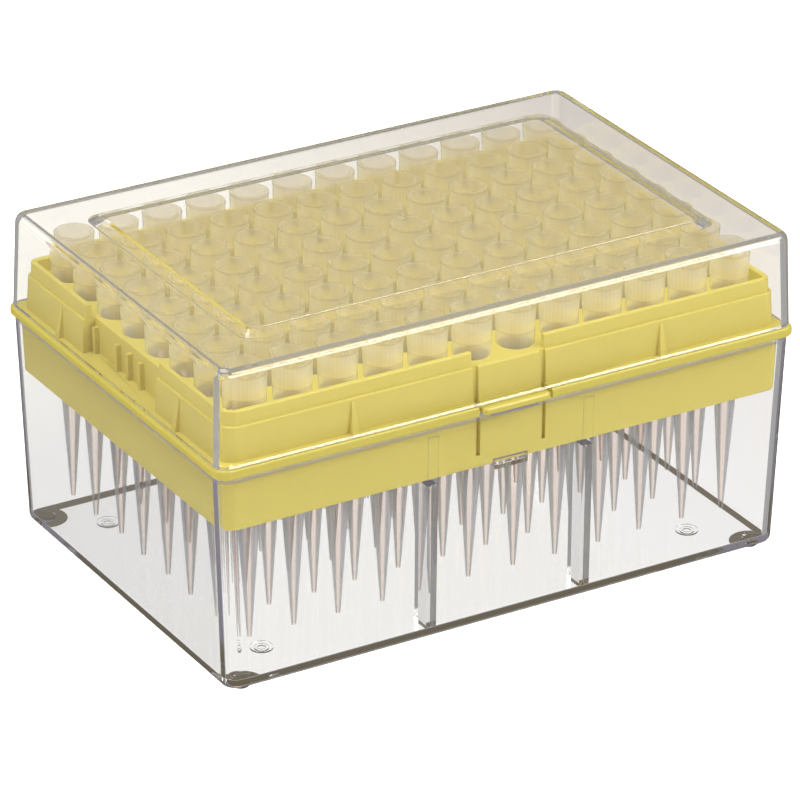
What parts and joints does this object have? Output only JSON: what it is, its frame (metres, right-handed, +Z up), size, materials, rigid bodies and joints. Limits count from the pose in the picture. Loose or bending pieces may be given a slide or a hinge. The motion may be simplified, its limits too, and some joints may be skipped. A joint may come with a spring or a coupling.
{
  "type": "box of pipette tips",
  "caption": "Clear lidded box holding a yellow rack with a full grid of upright translucent pipette tips; the rack has a springy front latch and a grip recess.",
  "frame": {"origin": "centre of the box's outline at the level of the feet's undersides", "axes": "+Z up, +X along the long side, -Y towards the face with the latch, -X towards the end with the grip recess"},
  "size_m": [0.1186, 0.0812, 0.0636],
  "materials": {
    "clear_plastic": "glass-clear injection-moulded polystyrene, polished",
    "rack_plastic": "pale yellow moulded polypropylene, satin",
    "tip_plastic": "natural translucent moulded polypropylene, smooth"
  },
  "bodies": {
    "base": {"base": "clear_plastic"},
    "rack": {"rack": "rack_plastic", "tip_h01": "tip_plastic", "tip_h02": "tip_plastic", "tip_h03": "tip_plastic", "tip_h04": "tip_plastic", "tip_h05": "tip_plastic", "tip_h06": "tip_plastic", "tip_h07": "tip_plastic", "tip_h08": "tip_plastic", "tip_h09": "tip_plastic", "tip_h10": "tip_plastic", "tip_h11": "tip_plastic", "tip_h12": "tip_plastic", "tip_g01": "tip_plastic", "tip_g02": "tip_plastic", "tip_g03": "tip_plastic", "tip_g04": "tip_plastic", "tip_g05": "tip_plastic", "tip_g06": "tip_plastic", "tip_g07": "tip_plastic", "tip_g08": "tip_plastic", "tip_g09": "tip_plastic", "tip_g10": "tip_plastic", "tip_g11": "tip_plastic", "tip_g12": "tip_plastic", "tip_f01": "tip_plastic", "tip_f02": "tip_plastic", "tip_f03": "tip_plastic", "tip_f04": "tip_plastic", "tip_f05": "tip_plastic", "tip_f06": "tip_plastic", "tip_f07": "tip_plastic", "tip_f08": "tip_plastic", "tip_f09": "tip_plastic", "tip_f10": "tip_plastic", "tip_f11": "tip_plastic", "tip_f12": "tip_plastic", "tip_e01": "tip_plastic", "tip_e02": "tip_plastic", "tip_e03": "tip_plastic", "tip_e04": "tip_plastic", "tip_e05": "tip_plastic", "tip_e06": "tip_plastic", "tip_e07": "tip_plastic", "tip_e08": "tip_plastic", "tip_e09": "tip_plastic", "tip_e10": "tip_plastic", "tip_e11": "tip_plastic", "tip_e12": "tip_plastic"},
    "lid": {"lid": "clear_plastic"}
  },
  "joints": [
    {"name": "rack_lift", "type": "slide", "parent": "base", "child": "rack", "axis": [0, 0, 1], "range_m": [0, 0.045]},
    {"name": "lid_lift", "type": "slide", "parent": "rack", "child": "lid", "axis": [0, 0, 1], "range_m": [0, 0.02]}
  ]
}
